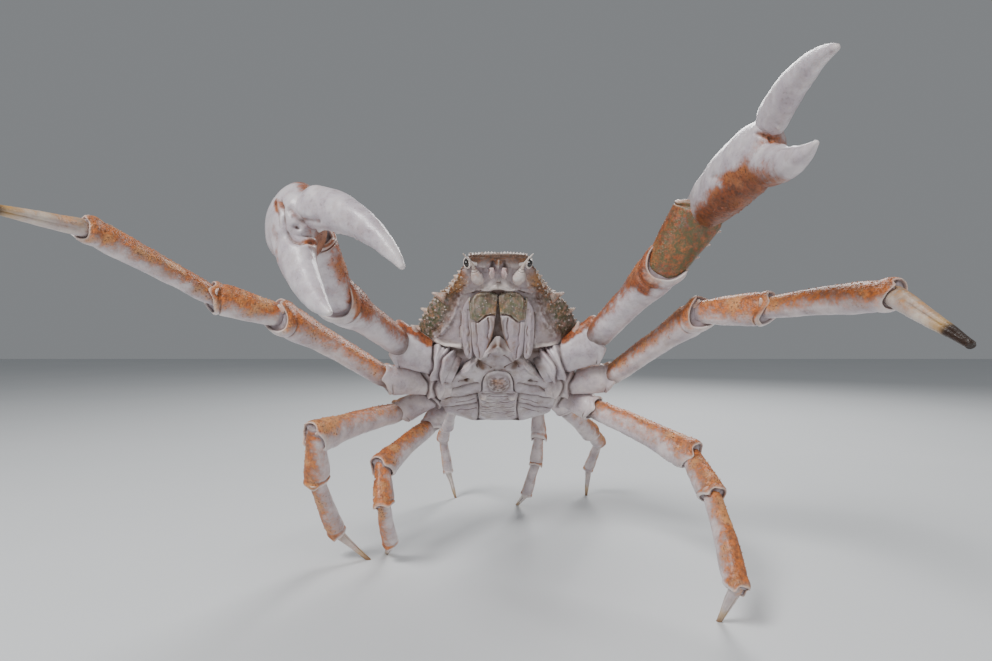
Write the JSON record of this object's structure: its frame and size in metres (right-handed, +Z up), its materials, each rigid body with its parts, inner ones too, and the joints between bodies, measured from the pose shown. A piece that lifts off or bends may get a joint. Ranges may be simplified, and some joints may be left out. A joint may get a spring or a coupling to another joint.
{
  "type": "southern giant spider crab",
  "caption": "Life-size model of a large male spider crab rearing up on its walking legs with both claws raised and open.",
  "frame": {"origin": "on the floor, under the middle of the model's box", "axes": "+Z up, the crab faces -Y, its own left side is towards +X"},
  "size_m": [0.5673, 0.4985, 0.3622],
  "materials": {
    "back_shell": "rough brown and orange shell with pale beads",
    "under_shell": "smooth lilac-white shell",
    "mouth_shell": "smooth greyish shell with brown mottling",
    "claw_shell": "satin white shell with rust-orange upper edges",
    "leg_shell": "satin white shell, orange and speckled above",
    "eye": "glossy black"
  },
  "bodies": {
    "root": {"carapace": "back_shell", "sternum": "under_shell", "abdomen": "under_shell", "maxilliped_left": "mouth_shell", "eye_left": "eye", "antenna_left": "mouth_shell", "claw_left_hip": "claw_shell", "claw_left_merus": "claw_shell", "claw_left_carpus": "claw_shell", "claw_left_palm": "claw_shell", "claw_left_dactyl": "claw_shell", "leg2_left_hip": "leg_shell", "leg2_left_merus": "leg_shell", "leg2_left_carpus": "leg_shell", "leg2_left_propodus": "leg_shell", "leg2_left_dactyl": "leg_shell", "leg3_left_hip": "leg_shell", "leg3_left_merus": "leg_shell", "leg3_left_carpus": "leg_shell", "leg3_left_propodus": "leg_shell", "leg3_left_dactyl": "leg_shell", "leg4_left_hip": "leg_shell", "leg4_left_merus": "leg_shell", "leg4_left_carpus": "leg_shell", "leg4_left_propodus": "leg_shell", "leg4_left_dactyl": "leg_shell", "leg5_left_hip": "leg_shell", "leg5_left_merus": "leg_shell", "leg5_left_carpus": "leg_shell", "leg5_left_propodus": "leg_shell", "leg5_left_dactyl": "leg_shell", "maxilliped_right": "mouth_shell", "eye_right": "eye", "antenna_right": "mouth_shell", "claw_right_hip": "claw_shell", "claw_right_merus": "claw_shell", "claw_right_carpus": "claw_shell", "claw_right_palm": "claw_shell", "claw_right_dactyl": "claw_shell", "leg2_right_hip": "leg_shell", "leg2_right_merus": "leg_shell", "leg2_right_carpus": "leg_shell", "leg2_right_propodus": "leg_shell", "leg2_right_dactyl": "leg_shell", "leg3_right_hip": "leg_shell", "leg3_right_merus": "leg_shell", "leg3_right_carpus": "leg_shell", "leg3_right_propodus": "leg_shell", "leg3_right_dactyl": "leg_shell", "leg4_right_hip": "leg_shell", "leg4_right_merus": "leg_shell", "leg4_right_carpus": "leg_shell", "leg4_right_propodus": "leg_shell", "leg4_right_dactyl": "leg_shell", "leg5_right_hip": "leg_shell", "leg5_right_merus": "leg_shell", "leg5_right_carpus": "leg_shell", "leg5_right_propodus": "leg_shell", "leg5_right_dactyl": "leg_shell"}
  },
  "joints": []
}
